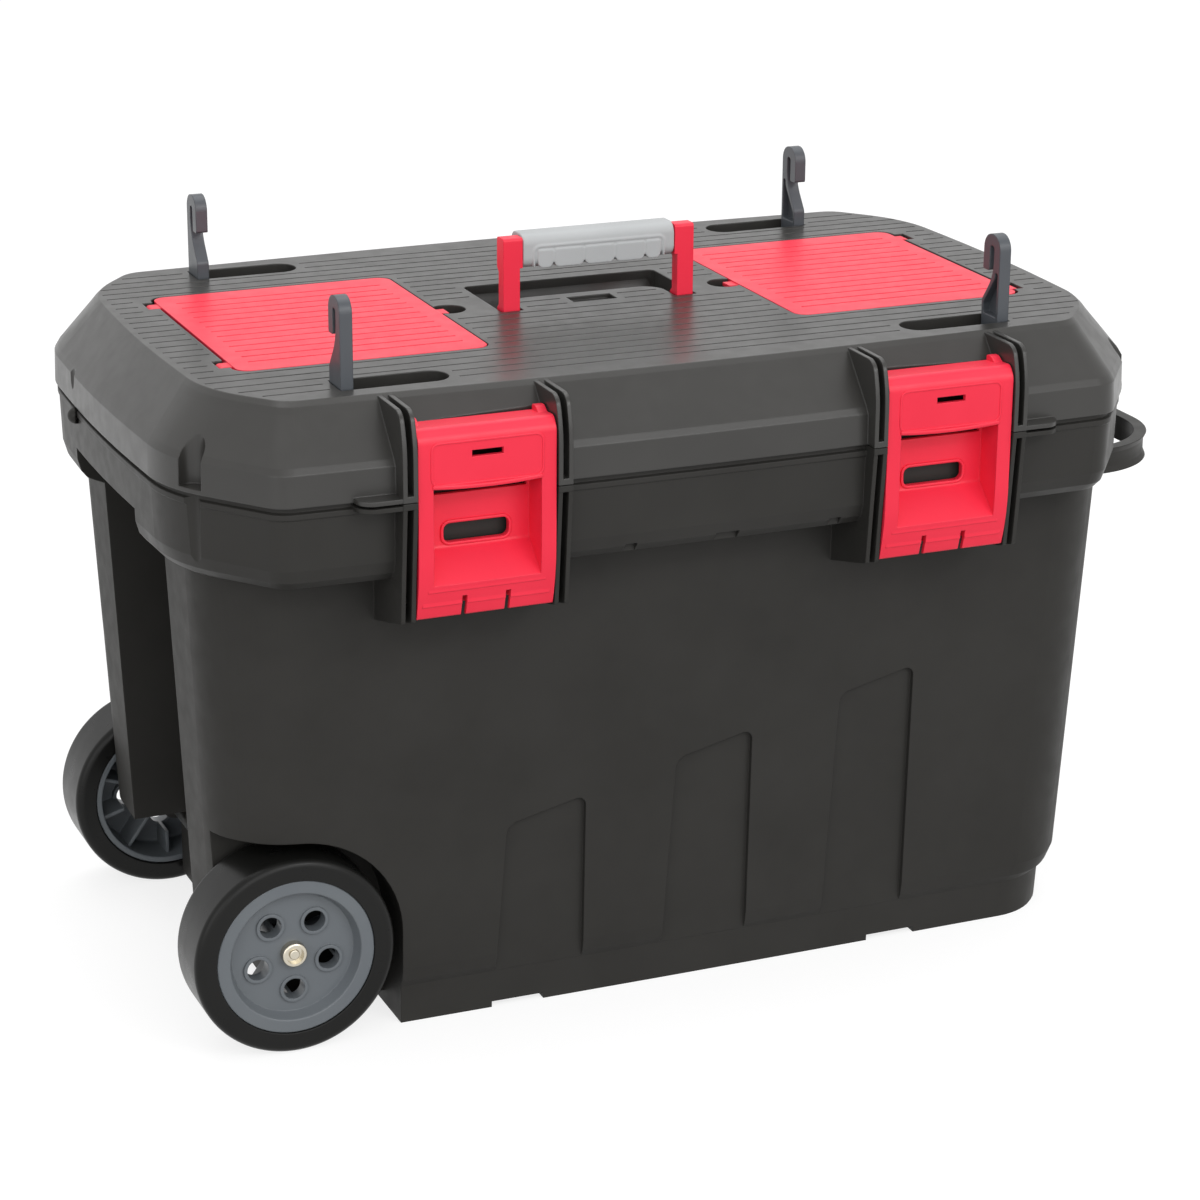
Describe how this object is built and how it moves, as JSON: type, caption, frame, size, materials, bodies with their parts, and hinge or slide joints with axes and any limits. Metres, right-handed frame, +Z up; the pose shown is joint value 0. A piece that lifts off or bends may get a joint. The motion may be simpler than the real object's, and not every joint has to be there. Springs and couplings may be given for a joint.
{
  "type": "rolling jobsite storage box",
  "caption": "Rolling plastic tool chest with a hinged lid, front latches, lidded organisers, carry handle, fold-down hooks, wheels and a pull loop.",
  "frame": {"origin": "on the ground under the middle of the lid, on the flat underside of the tub", "axes": "+X along the length towards the pull loop, wheels at -X; -Y is the latch side, +Y the hinge side; +Z up"},
  "size_m": [0.7193, 0.4465, 0.4835],
  "materials": {
    "black_plastic": "fine moulded texture, low sheen",
    "red_plastic": "satin",
    "grey_grip": "soft matte",
    "hook_plastic": "satin",
    "hub_plastic": "satin",
    "tyre": "low sheen",
    "steel": "bright drawn",
    "bright_metal": "nickel plated, bright"
  },
  "bodies": {
    "tub": {"tub": "black_plastic", "pull_handle": "black_plastic", "lid_hinge_pins": "steel", "latch_pins": "steel", "axle_rod": "steel", "axle_caps": "bright_metal"},
    "lid": {"lid": "black_plastic", "organiser_tray_left": "black_plastic", "organiser_tray_right": "black_plastic", "organiser_hinge_pins": "steel", "carry_handle_pins": "steel", "hook_pins": "steel"},
    "latch_left": {"latch_left": "red_plastic"},
    "latch_right": {"latch_right": "red_plastic"},
    "organiser_lid_left": {"organiser_lid_left": "red_plastic"},
    "organiser_lid_right": {"organiser_lid_right": "red_plastic"},
    "carry_handle": {"carry_handle": "red_plastic", "carry_grip": "grey_grip"},
    "hook_front_left": {"hook_front_left": "hook_plastic"},
    "hook_front_right": {"hook_front_right": "hook_plastic"},
    "hook_rear_left": {"hook_rear_left": "hook_plastic"},
    "hook_rear_right": {"hook_rear_right": "hook_plastic"},
    "wheel_front": {"hub_front": "hub_plastic", "tyre_front": "tyre"},
    "wheel_rear": {"hub_rear": "hub_plastic", "tyre_rear": "tyre"}
  },
  "joints": [
    {"name": "lid_hinge", "type": "hinge", "parent": "tub", "child": "lid", "pos_m": [0, 0.22, 0.372], "axis": [-1, 0, 0], "range_deg": [0, 100]},
    {"name": "latch_left_pivot", "type": "hinge", "parent": "tub", "child": "latch_left", "pos_m": [-0.1555, -0.203, 0.306], "axis": [1, 0, 0], "range_deg": [0, 100]},
    {"name": "organiser_left_hinge", "type": "hinge", "parent": "lid", "child": "organiser_lid_left", "pos_m": [-0.276, 0, 0.4242], "axis": [0, -1, 0], "range_deg": [0, 100]},
    {"name": "latch_right_pivot", "type": "hinge", "parent": "tub", "child": "latch_right", "pos_m": [0.1555, -0.203, 0.306], "axis": [1, 0, 0], "range_deg": [0, 100]},
    {"name": "organiser_right_hinge", "type": "hinge", "parent": "lid", "child": "organiser_lid_right", "pos_m": [0.276, 0, 0.4242], "axis": [0, 1, 0], "range_deg": [0, 100]},
    {"name": "carry_handle_pivot", "type": "hinge", "parent": "lid", "child": "carry_handle", "pos_m": [0, -0.0125, 0.421], "axis": [-1, 0, 0], "range_deg": [0, 90]},
    {"name": "hook_front_left_pivot", "type": "hinge", "parent": "lid", "child": "hook_front_left", "pos_m": [-0.223, -0.149, 0.422], "axis": [0, 1, 0], "range_deg": [0, 90]},
    {"name": "hook_rear_left_pivot", "type": "hinge", "parent": "lid", "child": "hook_rear_left", "pos_m": [-0.223, 0.149, 0.422], "axis": [0, 1, 0], "range_deg": [0, 90]},
    {"name": "hook_front_right_pivot", "type": "hinge", "parent": "lid", "child": "hook_front_right", "pos_m": [0.223, -0.149, 0.422], "axis": [0, -1, 0], "range_deg": [0, 90]},
    {"name": "hook_rear_right_pivot", "type": "hinge", "parent": "lid", "child": "hook_rear_right", "pos_m": [0.223, 0.149, 0.422], "axis": [0, -1, 0], "range_deg": [0, 90]},
    {"name": "wheel_front_spin", "type": "hinge", "parent": "tub", "child": "wheel_front", "pos_m": [-0.265, -0.144, 0.0655], "axis": [0, 1, 0], "continuous": true},
    {"name": "wheel_rear_spin", "type": "hinge", "parent": "tub", "child": "wheel_rear", "pos_m": [-0.265, 0.144, 0.0655], "axis": [0, 1, 0], "continuous": true}
  ]
}
